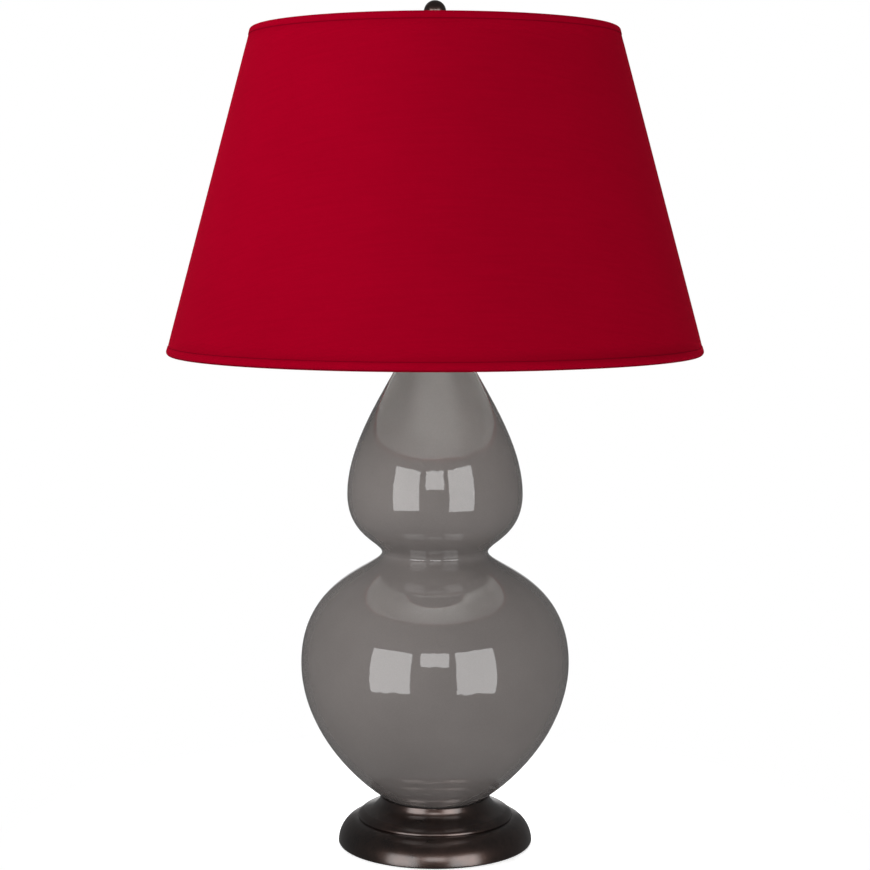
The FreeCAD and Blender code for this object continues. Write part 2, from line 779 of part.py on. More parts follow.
roll_r = shade_wire_r + wire_gap + cover_t
shade_top_z = washer_z + spider_washer_t / 2 + spider_rise + roll_r
top_wire = (shade_top_r - roll_r, shade_top_z - roll_r)
bottom_wire = (shade_bottom_r - roll_r, shade_top_z - shade_height + roll_r)
slant = math.hypot(bottom_wire[0] - top_wire[0], top_wire[1] - bottom_wire[1])
down = ((bottom_wire[0] - top_wire[0]) / slant, (bottom_wire[1] - top_wire[1]) / slant)
out = (-down[1], down[0])


def near_wire(wire, way, along, outward):
    """Point beside a rim wire: along the slant into the shade and outward from its middle surface."""
    return (wire[0] + way * along * down[0] + outward * out[0],
            wire[1] + way * along * down[1] + outward * out[1])


def rolled_edge(wire, way):
    """Eight points of the cover at one wire, from its outside round the roll and tail to its inside."""
    skin = roll_r - cover_t
    tail = skin - shade_liner_t - 2 * glue_gap
    places = [(0, roll_r), (-roll_r, 0), (0, -roll_r), (hem_tail, tail - cover_t), (hem_tail, tail),
              (0, -skin), (-skin, 0), (0, skin)]
    return [near_wire(wire, way, along, outward) for along, outward in places]


def shade_cover():
    """Fabric cone whose edges roll round both wires and end in a tail, slotted for the spider's arms."""
    top = rolled_edge(top_wire, 1)
    bottom = rolled_edge(bottom_wire, -1)
    cover = turned(top[0], bottom[:1], bottom[1:3], bottom[3:4], bottom[4:5], bottom[5:6], bottom[6:8],
                   top[7:], [top[6], top[5]], top[4:5], top[3:4], top[2:3], [top[1], top[0]])
    return cover.cut(round_the_spider(hem_slot()))


def shade_liner():
    """Stiff inner cone, glued inside the cover between the two wires."""
    outside = roll_r - cover_t - glue_gap
    inside = outside - shade_liner_t
    start = shade_wire_r + 3 * glue_gap
    return turned(near_wire(top_wire, 1, start, outside), [near_wire(bottom_wire, -1, start, outside)],
                  [near_wire(bottom_wire, -1, start, inside)], [near_wire(top_wire, 1, start, inside)])


def rim_wire(wire):
    return Part.makeTorus(wire[0], shade_wire_r, V(0, 0, wire[1]))


def spider_arm(radius):
    """One arm along +X: level from the washer, bent up and level again at the middle of the top wire."""
    low = washer_z + spider_washer_t / 2
    tip, high = top_wire
    slope = math.radians(spider_slope)
    bend_in = spider_bend_r * math.sin(slope)
    bend_up = spider_bend_r * (1 - math.cos(slope))
    run = (high - low - 2 * bend_up) / math.tan(slope)
    start = tip - run - 2 * bend_in
    half_in = spider_bend_r * math.sin(slope / 2)
    half_up = spider_bend_r * (1 - math.cos(slope / 2))
    points = [V(0.5 * spider_washer_r, 0, low), V(start, 0, low), V(start + half_in, 0, low + half_up),
              V(start + bend_in, 0, low + bend_up), V(tip - bend_in, 0, high - bend_up),
              V(tip - half_in, 0, high - half_up), V(tip, 0, high)]
    edges = [Part.LineSegment(points[0], points[1]).toShape(), Part.Arc(*points[1:4]).toShape(),
             Part.LineSegment(points[3], points[4]).toShape(), Part.Arc(*points[4:7]).toShape()]
    return rod_along(edges, radius)


def hem_slot():
    """Slot in the inner half of the top roll, where an arm along +X comes through to the wire."""
    half = spider_wire_r + free_gap
    tip, high = top_wire
    sag = spider_bend_r - math.sqrt(spider_bend_r ** 2 - roll_r ** 2)
    return box(tip - 3 * roll_r, tip - weld_gap, -half, half, high - half - sag, high + half - free_gap / 2)


def round_the_spider(arm_or_slot):
    """Copies of an arm, or of its slot, at each place round the washer, the first one at the back."""
    arms = []
    for k in range(spider_arms):
        copy = arm_or_slot.copy()
        copy.rotate(V(0, 0, 0), V(0, 0, 1), 90 + 360 * k / spider_arms)
        arms.append(copy)
    return Part.makeCompound(arms)


def spider_wires():
    """Arms coped to the washer and to the top wire, where they are welded."""
    arm = spider_arm(spider_wire_r)
    arm = arm.cut(ring(0, spider_washer_r + weld_gap, washer_z - spider_washer_t, 3 * spider_washer_t))
    arm = arm.cut(Part.makeTorus(top_wire[0], shade_wire_r + weld_gap, V(0, 0, top_wire[1])))
    return round_the_spider(max(arm.Solids, key=lambda piece: piece.Volume))


def build_shade():
    hole = stud_thread_r + free_gap
    save("spider_washer", ring(hole, spider_washer_r, washer_z, spider_washer_t))
    save("spider_arms", spider_wires())
    save("top_ring", rim_wire(top_wire))
    save("bottom_ring", rim_wire(bottom_wire))
    save("shade_liner", shade_liner())
    save("shade_cover", shade_cover())


# ---------------------------------------------------------------- finial

def finial():
    """Turned finial: a foot, a cove, a collar and a ball, tapped from below."""
    bore = stud_thread_r + free_gap
    foot_top = finial_z + finial_foot_t
    top = finial_z + finial_h
    ball_z = top - finial_ball_r
    neck_half = 0.62 * finial_ball_r
    ball_bottom = ball_z - math.sqrt(finial_ball_r ** 2 - neck_half ** 2)
    collar_z = ball_bottom - finial_collar_t
    waist = (foot_top + collar_z) / 2
    depth = stud_seat_z + stud_thread_h + 4 * free_gap
    return turned((bore, finial_z), [(finial_foot_r, finial_z)],
                  [(finial_foot_r + finial_edge, finial_z + finial_foot_t / 2), (finial_foot_r, foot_top)],
                  [(finial_waist_r + finial_cove, foot_top + finial_cove_h),
                   (finial_waist_r, waist - finial_waist_pull), (finial_waist_r, waist)],
                  [(finial_waist_r, waist + finial_waist_pull), (neck_half - finial_edge, collar_z),
                   (neck_half, collar_z)],
                  [(neck_half + finial_edge, collar_z + finial_collar_t / 2), (neck_half, ball_bottom)],
                  [(finial_ball_r, ball_z), (0, top)], [(0, depth)], [(bore, depth)])


build_base()
build_neck()
build_socket()
build_bulb()
build_harp()
build_shade()
save("finial", finial())
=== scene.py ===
import math

import bpy
from bpy.props import FloatProperty, FloatVectorProperty, IntProperty, PointerProperty
from bpy.types import Operator, Panel, PropertyGroup
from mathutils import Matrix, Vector, noise


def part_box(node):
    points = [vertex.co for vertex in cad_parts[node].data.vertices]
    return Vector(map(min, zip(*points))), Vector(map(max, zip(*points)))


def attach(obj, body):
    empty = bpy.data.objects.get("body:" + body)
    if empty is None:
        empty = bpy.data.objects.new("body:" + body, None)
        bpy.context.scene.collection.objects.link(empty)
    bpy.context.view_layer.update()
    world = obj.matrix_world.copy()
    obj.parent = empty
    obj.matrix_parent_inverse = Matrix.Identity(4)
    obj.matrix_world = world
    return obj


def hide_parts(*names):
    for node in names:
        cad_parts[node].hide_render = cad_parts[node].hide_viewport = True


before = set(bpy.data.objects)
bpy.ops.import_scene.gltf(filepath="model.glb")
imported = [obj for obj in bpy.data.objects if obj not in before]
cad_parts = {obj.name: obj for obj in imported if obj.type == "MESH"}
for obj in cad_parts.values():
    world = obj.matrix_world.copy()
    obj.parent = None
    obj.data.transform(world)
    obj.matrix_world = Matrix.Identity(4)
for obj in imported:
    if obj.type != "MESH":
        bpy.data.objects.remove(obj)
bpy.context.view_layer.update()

bl_info = {
    "name": "Double Gourd Lamp",
    "version": (1, 0, 0),
    "blender": (4, 5, 0),
    "location": "View3D > Sidebar > Lamp",
    "description": "Dresses the double gourd table lamp and sets up its studio",
    "category": "Object",
}

# Blender's wave texture has one band every pi / 10 of its own units
WAVE = math.pi / 10
MM = 0.001
TURN = 2 * math.pi
ROUND = 72  # facets round a small threaded piece


# ---------------------------------------------------------------- small helpers

def linear(code):
    """sRGB hex colour as the linear RGBA that the shaders take."""
    channels = [int(code[i:i + 2], 16) / 255 for i in (1, 3, 5)]
    return [c / 12.92 if c <= 0.04045 else ((c + 0.055) / 1.055) ** 2.4 for c in channels] + [1.0]


def colour(name, description, code):
    """A colour property that starts at a hex value."""
    return FloatVectorProperty(name=name, description=description, subtype="COLOR", size=4,
                               min=0, max=1, default=linear(code))


def length(name, description, value):
    """A length property in metres."""
    return FloatProperty(name=name, description=description, subtype="DISTANCE", unit="LENGTH",
                         default=value, precision=5)


def feed(tree, made, key, value):
    """Sets a node's input to a constant or links it to an output. A node stands for its first output."""
    if isinstance(value, bpy.types.Node):
        value = value.outputs[0]
    if isinstance(value, bpy.types.NodeSocket):
        tree.links.new(value, made.inputs[key])
    else:
        made.inputs[key].default_value = value


def node(tree, kind, values=None, **settings):
    """Adds a node. Values are what feeds its inputs, and settings its options."""
    made = tree.nodes.new(kind)
    for name, value in settings.items():
        setattr(made, name, value)
    for key, value in (values or {}).items():
        feed(tree, made, key, value)
    return made


def finish(name, sockets):
    """A new material and its shader, with the shader's constants set."""
    material = bpy.data.materials.new(name)
    material.use_nodes = True
    tree = material.node_tree
    tree.nodes.clear()
    shader = node(tree, "ShaderNodeBsdfPrincipled", sockets)
    node(tree, "ShaderNodeOutputMaterial", {"Surface": shader})
    return material, tree, shader


def dress(material, names):
    """Gives CAD nodes a finish."""
    for name in names:
        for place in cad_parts[name].material_slots:
            place.material = material


def piece(name, points, faces, material, body, slot):
    """A new mesh object at the origin that rides on a body."""
    mesh = bpy.data.meshes.new(name)
    mesh.from_pydata(points, [], faces)
    mesh.shade_smooth()
    mesh.materials.append(material)
    made = bpy.data.objects.new(name, mesh)
    bpy.context.scene.collection.objects.link(made)
    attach(made, body)
    return made


def around(rings, closed=True):
    """Points and quads through rings of equal count. Closed joins the last ring to the first."""
    count = len(rings[0])
    points = [p for ring in rings for p in ring]
    faces = []
    for k in range(len(rings) if closed else len(rings) - 1):
        here = k * count
        there = (k + 1) % len(rings) * count
        for i in range(count):
            j = (i + 1) % count
            faces.append((here + i, here + j, there + j, there + i))
    return points, faces


def circle(radius, height, steps):
    """Points of a level circle about the lamp's axis."""
    turns = [TURN * i / steps for i in range(steps)]
    return [(radius * math.cos(a), radius * math.sin(a), height) for a in turns]


def turned(outline, steps=96):
    """Points and quads of a closed (radius, height) outline turned about the lamp's axis."""
    return around([circle(r, z, steps) for r, z in outline])


def offsets(radius, height, steps):
    """A (radius, height) outline given as steps out and up from a point, in millimetres."""
    return [(radius + out * MM, height + up * MM) for out, up in steps]


def gathered(shapes):
    """Points and faces of several shapes as one mesh."""
    points = []
    faces = []
    for more_points, more_faces in shapes:
        faces += [tuple(i + len(points) for i in face) for face in more_faces]
        points += more_points
    return points, faces


def thread(radius, depth, pitch, low, high, steps=ROUND, per_turn=10):
    """Rings of a rope thread whose crests stand at radius. It runs out into plain metal at both ends."""
    rows = int((high - low) / pitch * per_turn)
    rings = []
    for k in range(rows + 1):
        z = low + (high - low) * k / rows
        fade = min(1, (z - low) / pitch, (high - z) / pitch)
        ring = []
        for i in range(steps):
            part = i / steps
            groove = 0.5 + 0.5 * math.cos(TURN * (z / pitch - part))
            r = radius - depth * groove * fade
            ring.append((r * math.cos(TURN * part), r * math.sin(TURN * part), z))
        rings.append(ring)
    return rings


# ---------------------------------------------------------------- sizes and colours

class LampShadeLook(PropertyGroup):
    red: colour("Red", "Dyed cotton in even light", "#8F001B")
    deep_red: colour("Deep red", "The same cloth between its threads", "#860018")
    # Painted shadow: colour and width of the dark hairlines drawn along the folds and the lap's edge
    painted_shadow_red: colour("Crease red", "In the folds and along the lap", "#3A000B")
    crease: length("Crease", "Width of the dark line along a fold", 1.2 * MM)
    thread_spacing: length("Thread spacing", "Thread to thread, coarse enough to show", 0.8 * MM)
    trim_width: length("Trim width", "Band of the same cloth along each edge", 3.5 * MM)
    trim_rise: length("Trim rise", "How far the trim stands over the cloth", 0.45 * MM)
    cloth: length("Cloth", "Thickness of the cloth", 0.6 * MM)
    hem: length("Hem", "Cloth turned in round each wire", 5.0 * MM)
    lap: length("Lap", "Width of the glued lap down the back", 9.0 * MM)


class LampBodyLook(PropertyGroup):
    glaze: colour("Glaze", "Warm grey gloss glaze", "#736E6C")
    glaze_pool: colour("Glaze pools", "Where the glaze lies thicker", "#6A6563")
    bronze: colour("Bronze", "Dark patina on the foot and the finial", "#33241F")
    rubbed_bronze: colour("Rubbed bronze", "The same metal where cloths have rubbed it", "#5A4138")
    felt: colour("Felt", "Wool felt under the foot", "#17181A")


class LampFittingLook(PropertyGroup):
    brass: colour("Brass", "Polished brass of the socket and the harp", "#D8B46A")
    tarnish: colour("Tarnish", "Dull patches on the brass", "#B08C50")
    zinc: colour("Zinc", "Zinc plate on the wires and nuts", "#C4C8C9")
    aluminium: colour("Aluminium", "Cap of the bulb", "#D2D4D6")
    lining: colour("Lining", "White styrene inside the shade", "#F2F2F0")
    bulb_pitch: length("Bulb thread pitch", "Standard screw bulb thread", 3.629 * MM)
    bulb_depth: length("Bulb thread depth", "From crest to root", 0.8 * MM)
    stud_pitch: length("Stud thread pitch", "Standard finial thread", 0.94 * MM)


class LampStudio(PropertyGroup):
    camera_back: length("Camera distance", "From the lamp's axis", 1.9)
    camera_height: length("Camera height", "Over the table", 0.585)
    camera_tilt: FloatProperty(name="Camera tilt", description="Down from level", subtype="ANGLE",
                               default=math.radians(5.925))
    lens: FloatProperty(name="Lens", description="Focal length in millimetres", unit="CAMERA",
                        default=84.7)
    window: FloatProperty(name="Windows", description="Brightness of the soft boxes in front",
                          min=0, default=3.15)
    side: FloatProperty(name="Side", description="Brightness of the soft box at the shade's left",
                        min=0, default=2.2)
    side_share: FloatProperty(name="Right side", description="The right soft box's part of the left's",
                              min=0, default=0.16)
    hair: FloatProperty(name="Hair light", description="Brightness of the soft box behind and above",
                        min=0, default=3.8)
    fill: FloatProperty(name="Fill", description="What the studio's walls give to the shadows",
                        min=0, default=0.34)
    walls: FloatProperty(name="Walls", description="What gloss and glass mirror of those walls",
                         min=0, default=0.1)
    floor_steps: IntProperty(name="Floor steps", description="Facets round the floor's edge", default=96)


def look(context):
    """The lamp's settings in the scene."""
    scene = context.scene
    return scene.lamp_shade_look, scene.lamp_body_look, scene.lamp_fitting_look, scene.lamp_studio


# ---------------------------------------------------------------- finishes

def percale(shade, lap_at, shadow_radii):
    """Dyed cotton percale, laminated to the lining: fine level threads, matt, with a faint pale fuzz.
    Shadow radii are the radii of its folds and trims on the flat cut, where painted shadow hairlines darken
    the cloth, as along the lap's edge."""
    material, tree, shader = finish("dyed_cotton_percale", {
        "Roughness": 0.9, "Specular IOR Level": 0.01, "Sheen Weight": 0.03, "Sheen Roughness": 0.4,
        "Sheen Tint": linear("#C04048")})
    cut = node(tree, "ShaderNodeUVMap", uv_map="cut")
    # Percale has a thread every 0.25 mm, too fine for the picture, so it is drawn three times as coarse
    threads = {"Vector": cut, "Scale": WAVE / shade.thread_spacing, "Distortion": 0.6,
               "Detail Scale": 0.2}
    warp = node(tree, "ShaderNodeTexWave", threads, bands_direction="X").outputs["Fac"]
    weft = node(tree, "ShaderNodeTexWave", threads, bands_direction="Y").outputs["Fac"]
    weave = node(tree, "ShaderNodeMath", {0: warp, 1: weft}, operation="MULTIPLY")
    # Slubs are thick places a few centimetres long in the level threads
    slub = (1 / (50 * MM), 1 / (2 * MM), 1)
    drawn_out = node(tree, "ShaderNodeMapping", {"Vector": cut, "Scale": slub})
    slubs = node(tree, "ShaderNodeTexNoise", {"Vector": drawn_out, "Scale": 1, "Detail": 3})
    tone = node(tree, "ShaderNodeMath", {0: weave, 1: 0.35, 2: slubs}, operation="MULTIPLY_ADD")
    # The dye took a little unevenly
    uneven = 71.43 * MM
    dye = node(tree, "ShaderNodeTexNoise", {"Vector": cut, "Scale": 1 / uneven, "Detail": 2})
    shift = node(tree, "ShaderNodeMath", {0: dye, 1: 0.5, 2: tone}, operation="MULTIPLY_ADD")
    share = node(tree, "ShaderNodeMapRange", {"Value": shift, "From Min": 0.4, "From Max": 1.15})
    dyed = {0: share, 6: shade.deep_red, 7: shade.red}
    cloth = node(tree, "ShaderNodeMix", dyed, data_type="RGBA").outputs[2]

    # Painted shadow: dark hairlines along the lap's edge, at the back alone, and along the folds
    at = node(tree, "ShaderNodeTexCoord").outputs["Object"]
    axes = node(tree, "ShaderNodeSeparateXYZ", {0: at})
    behind = node(tree, "ShaderNodeMath", {0: axes.outputs["Y"], 1: 0.0}, operation="GREATER_THAN")
    across = (-math.sin(lap_at), math.cos(lap_at), 0)
    beside = node(tree, "ShaderNodeVectorMath", {0: at, 1: across}, operation="DOT_PRODUCT")
    at_edge = {0: beside.outputs["Value"], 1: -shade.lap / 2, 2: shade.crease / 2}
    edge = node(tree, "ShaderNodeMath", at_edge, operation="COMPARE")
    shadow = node(tree, "ShaderNodeMath", {0: edge, 1: behind}, operation="MULTIPLY")
    reach = node(tree, "ShaderNodeVectorMath", {0: cut}, operation="LENGTH").outputs["Value"]
    for crease in shadow_radii:
        at_crease = {0: reach, 1: crease, 2: shade.crease / 2}
        line = node(tree, "ShaderNodeMath", at_crease, operation="COMPARE")
        shadow = node(tree, "ShaderNodeMath", {0: shadow, 1: line}, operation="MAXIMUM")
    # The painted shadow darkens the cloth's colour by up to 0.4 towards the painted shadow red
    depth = node(tree, "ShaderNodeMath", {0: shadow, 1: 0.4}, operation="MULTIPLY")
    shadowed = {0: depth, 6: cloth, 7: shade.painted_shadow_red}
    feed(tree, shader, "Base Color", node(tree, "ShaderNodeMix", shadowed, data_type="RGBA").outputs[2])
    relief = node(tree, "ShaderNodeBump", {"Height": tone, "Strength": 0.5, "Distance": 0.06 * MM})
    feed(tree, shader, "Normal", relief)
    return material


def gloss_glaze(body):
    """Lead-free gloss glaze on slip-cast earthenware: glassy, uneven, a little deeper where it pooled."""
    material, tree, shader = finish("grey_gloss_glaze", {
        "Roughness": 0.035, "IOR": 1.56, "Coat Weight": 0.7, "Coat Roughness": 0.02, "Coat IOR": 1.5})
    at = node(tree, "ShaderNodeTexCoord").outputs["Object"]
    pool = 90.9 * MM
    pools = node(tree, "ShaderNodeTexNoise", {
        "Vector": at, "Scale": 1 / pool, "Detail": 4, "Roughness": 0.55})
    # Specks of iron in the glaze are 0.3 to 0.6 mm across, which is half their spacing or less
    speck = 1.1111 * MM
    specks = node(tree, "ShaderNodeTexNoise", {"Vector": at, "Scale": 1 / speck, "Detail": 1})
    blend = node(tree, "ShaderNodeMath", {0: specks, 1: 0.45, 2: pools}, operation="MULTIPLY_ADD")
    share = node(tree, "ShaderNodeMapRange", {"Value": blend, "From Min": 0.45, "From Max": 1.0})
    tint = node(tree, "ShaderNodeMix", {0: share, 6: body.glaze_pool, 7: body.glaze}, data_type="RGBA")
    feed(tree, shader, "Base Color", tint.outputs[2])
    # The glaze froze in long low waves, and in a fainter skin of short ones
    wave = 30.3 * MM
    ripple = 6.25 * MM
    waves = node(tree, "ShaderNodeTexNoise", {"Vector": at, "Scale": 1 / wave, "Detail": 1})
    skin = node(tree, "ShaderNodeTexNoise", {"Vector": at, "Scale": 1 / ripple, "Detail": 1})
    low = node(tree, "ShaderNodeBump", {"Height": waves, "Strength": 1.0, "Distance": 0.10 * MM})
    fine = node(tree, "ShaderNodeBump", {
        "Height": skin, "Strength": 1.0, "Distance": 0.006 * MM, "Normal": low})
    feed(tree, shader, "Normal", fine)
    return material


def patina_bronze(body):
    """Turned bronze with a chemical patina under satin lacquer: near black, brown where it was rubbed."""
    material, tree, shader = finish("patina_bronze", {
        "Metallic": 1.0, "Roughness": 0.3, "Coat Weight": 1.0, "Coat Roughness": 0.22, "Coat IOR": 1.75})
    at = node(tree, "ShaderNodeTexCoord").outputs["Object"]
    patch = 29.41 * MM
    patches = node(tree, "ShaderNodeTexNoise", {
        "Vector": at, "Scale": 1 / patch, "Detail": 5, "Roughness": 0.6})
    rub = node(tree, "ShaderNodeMapRange", {"Value": patches, "From Min": 0.35, "From Max": 0.75})
    tint = node(tree, "ShaderNodeMix", {0: rub, 6: body.bronze, 7: body.rubbed_bronze}, data_type="RGBA")
    feed(tree, shader, "Base Color", tint.outputs[2])
    # Where it is rubbed it is also smoother
    smoother = {"Value": patches, "From Min": 0.3, "From Max": 0.8, "To Min": 0.42, "To Max": 0.3}
    feed(tree, shader, "Roughness", node(tree, "ShaderNodeMapRange", smoother))
    # Turning marks are 0.25 mm apart, drawn twice as coarse to show, and the lacquer nearly fills them
    mark = 0.5 * MM
    marks = node(tree, "ShaderNodeTexWave", {"Vector": at, "Scale": WAVE / mark, "Distortion": 1.0},
                 bands_direction="Z").outputs["Fac"]
    turned_skin = node(tree, "ShaderNodeBump", {"Height": marks, "Strength": 0.3, "Distance": 0.01 * MM})
    # The patina is finely pitted
    pit = 1.4286 * MM
    pits = node(tree, "ShaderNodeTexNoise", {"Vector": at, "Scale": 1 / pit, "Detail": 2})
    skin = node(tree, "ShaderNodeBump", {
        "Height": pits, "Strength": 0.4, "Distance": 0.02 * MM, "Normal": turned_skin})
    feed(tree, shader, "Normal", skin)
    return material


def metal(name, bright, dull, roughness, patch, mark=None):
    """Bare or plated metal in two tones. Patch is the size of its stains, mark the spacing of any
    level marks."""
    material, tree, shader = finish(name, {"Metallic": 1.0})
    at = node(tree, "ShaderNodeTexCoord").outputs["Object"]
    stains = node(tree, "ShaderNodeTexNoise", {"Vector": at, "Scale": 1 / patch, "Detail": 5})
    share = node(tree, "ShaderNodeMapRange", {"Value": stains, "From Min": 0.42, "From Max": 0.72})
    tint = node(tree, "ShaderNodeMix", {0: share, 6: bright, 7: dull}, data_type="RGBA")
    feed(tree, shader, "Base Color", tint.outputs[2])
    # Where it is stained it is also duller
    duller = {"Value": stains, "From Min": 0.3, "From Max": 0.75,
              "To Min": roughness, "To Max": roughness + 0.2}
    feed(tree, shader, "Roughness", node(tree, "ShaderNodeMapRange", duller))
    scratch = 0.83333 * MM
    scratches = node(tree, "ShaderNodeTexNoise", {"Vector": at, "Scale": 1 / scratch, "Detail": 2})
    relief = node(tree, "ShaderNodeBump", {"Height": scratches, "Strength": 0.3, "Distance": 0.01 * MM})
    if mark:
        rings = node(tree, "ShaderNodeTexWave", {"Vector": at, "Scale": WAVE / mark},
                     bands_direction="Z").outputs["Fac"]
        relief = node(tree, "ShaderNodeBump", {
            "Height": rings, "Strength": 0.6, "Distance": 0.3 * mark, "Normal": relief})
    feed(tree, shader, "Normal", relief)
    return material


def plain(name, light, dark, sockets, grain, rise):
    """Moulded, pressed or felted stuff in two close tones. Grain is the size of its texture and rise
    the height of it."""
    material, tree, shader = finish(name, sockets)
    at = node(tree, "ShaderNodeTexCoord").outputs["Object"]
    # The tones drift over five grains
    mottle = node(tree, "ShaderNodeTexNoise", {"Vector": at, "Scale": 0.2 / grain, "Detail": 4})
    share = node(tree, "ShaderNodeMapRange", {"Value": mottle, "From Min": 0.35, "From Max": 0.65})
    tint = node(tree, "ShaderNodeMix", {0: share, 6: dark, 7: light}, data_type="RGBA")
    feed(tree, shader, "Base Color", tint.outputs[2])
    texture = node(tree, "ShaderNodeTexNoise", {"Vector": at, "Scale": 1 / grain, "Detail": 3})
    relief = node(tree, "ShaderNodeBump", {"Height": texture, "Strength": 0.6, "Distance": rise})
    feed(tree, shader, "Normal", relief)
    return material


# ---------------------------------------------------------------- pieces

class LAMP_OT_body(Operator):
    """Finish the gourd, its foot, its cap and the finial"""
    bl_idname = "lamp.body"
    bl_label = "Gourd, Foot and Finial"

    def execute(self, context):
        body = look(context)[1]
        dress(gloss_glaze(body), ["gourd_body"])
        dress(patina_bronze(body), ["base_shell", "vase_cap", "neck_tube", "check_ring", "finial"])
        # Wool felt: matt black fibres that catch a little light
        felt = plain("wool_felt", linear("#202124"), body.felt, {
            "Roughness": 0.95, "Specular IOR Level": 0.1, "Sheen Weight": 0.4}, 0.5 * MM, 0.25 * MM)
        dress(felt, ["felt_pad"])
        # Grey iron as it left the sand: dark, rough, with a 1 mm grain
        iron = plain("sand_cast_iron", linear("#55565A"), linear("#3A3A3C"),
                     {"Metallic": 0.8, "Roughness": 0.62}, 1.0 * MM, 0.3 * MM)
        dress(iron, ["base_weight"])
        # Cork and rubber sheet: brown granules about 1 mm across
        cork = plain("cork_rubber_sheet", linear("#7A5F42"), linear("#3F2F22"), {"Roughness": 0.85},
                     1.0 * MM, 0.15 * MM)
        dress(cork, ["seat_gasket", "neck_gasket"])
        # Moulded nylon: dark, faintly glossy, fine spark-eroded grain
        nylon = plain("moulded_nylon", linear("#1B1B1C"), linear("#121213"), {"Roughness": 0.42},
                      0.3 * MM, 0.02 * MM)
        dress(nylon, ["cord_inlet"])
        return {"FINISHED"}


class LAMP_OT_fittings(Operator):
    """Finish the socket, the switch, the harp and the wires"""
    bl_idname = "lamp.fittings"
    bl_label = "Socket, Harp and Wires"

    def execute(self, context):
        parts = look(context)[2]
        # Spun and polished brass under thin lacquer: warm, bright, dull in patches
        brass = metal("polished_brass", parts.brass, parts.tarnish, 0.18, 12 * MM)
        dress(brass, ["harp_saddle", "harp_loop", "left_ferrule", "right_ferrule", "harp_stud",
                      "socket_cap", "socket_shell", "centre_contact"])
        # Zinc-plated steel: cool grey with cloudy spangle
        dull_zinc = linear("#8E9396")
        zinc = metal("zinc_plate", parts.zinc, dull_zinc, 0.32, 5 * MM)
        dress(zinc, ["weight_washer", "lock_washer", "base_nut", "saddle_nut", "set_screw",
                     "terminal_screws", "spider_washer", "spider_arms", "top_ring", "bottom_ring",
                     "switch_shaft"])
        # Threaded pipe: the same plate, with a thread every 0.94 mm
        pipe = metal("threaded_zinc_pipe", parts.zinc, dull_zinc, 0.36, 5 * MM, parts.stud_pitch)
        dress(pipe, ["centre_rod"])
        # Phenolic: black-brown, moulded glossy, a little cloudy
        phenolic = plain("moulded_phenolic", linear("#231C19"), linear("#15100F"), {
            "Roughness": 0.28, "Coat Weight": 0.2, "Coat Roughness": 0.1}, 0.8 * MM, 0.02 * MM)
        dress(phenolic, ["socket_block", "switch_knob"])
        # Vulcanised fibre: pressed paper, brown and dry
        fibre = plain("vulcanised_fibre", linear("#8A6B4A"), linear("#6B5137"), {"Roughness": 0.75},
                      0.6 * MM, 0.04 * MM)
        dress(fibre, ["socket_liner"])
        # Styrene sheet: white, smooth, faintly satin
        styrene = plain("white_styrene", parts.lining, linear("#EDEDEA"), {"Roughness": 0.5},
                        3.0 * MM, 0.005 * MM)
        dress(styrene, ["shade_liner"])

        # The screw shell is drawn brass that follows the bulb's thread and stays outside its crests
        shell_low, shell_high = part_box("screw_shell")
        bore = shell_high.x
        bottom = shell_low.z
        gauge = 0.35 * MM
        depth = 0.5 * MM
        floor_hole = 6 * MM
        inside = thread(bore, depth, parts.bulb_pitch, bottom + 1.5 * MM, shell_high.z)
        stretch = 1 + gauge / bore
        outside = [[(x * stretch, y * stretch, z) for x, y, z in ring] for ring in reversed(inside)]
        floor = [circle(bore + gauge, bottom, ROUND), circle(floor_hole, bottom, ROUND),
                 circle(floor_hole, bottom + gauge, ROUND), circle(bore - depth, bottom + gauge, ROUND)]
        screw = piece("screw_shell_thread", *around(inside + outside + floor), brass, "lamp_body", "brass")
        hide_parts("screw_shell")

        # Two pressed beads stiffen the shell, and a curled edge closes its mouth
        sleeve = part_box("socket_shell")[1]
        bead_inset = 6 * MM
        bead = [(-0.2, -1.0), (0.25, -0.5), (0.4, 0.0), (0.25, 0.5), (-0.2, 1.0)]
        curl = [(-0.65, -0.8), (0.35, -0.8), (0.5, -0.3), (0.3, 0.2), (-0.2, 0.35), (-0.65, 0.1)]
        beads = [turned(offsets(sleeve.x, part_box("socket_cap")[1].z + bead_inset, bead)),
                 turned(offsets(sleeve.x, sleeve.z - bead_inset, bead)),
                 turned(offsets(sleeve.x, sleeve.z, curl))]
        piece("socket_beads", *gathered(beads), brass, "lamp_body", "brass")

        # The stud's thread stands on a core inside the plain stud, between its collar and its chamfer
        stud_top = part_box("harp_stud")[1].z
        foot = stud_top - 9.8 * MM
        tip = stud_top - 0.9 * MM
        core_r = 2.8 * MM
        facets = 48
        ridges = thread(3.3 * MM, 0.3 * MM, parts.stud_pitch, foot, tip, facets, 8)
        core = [circle(core_r, tip, facets), circle(core_r, foot, facets)]
        piece("stud_thread", *around(ridges + core), brass, "swivel_stud", "brass")
        return {"FINISHED"}


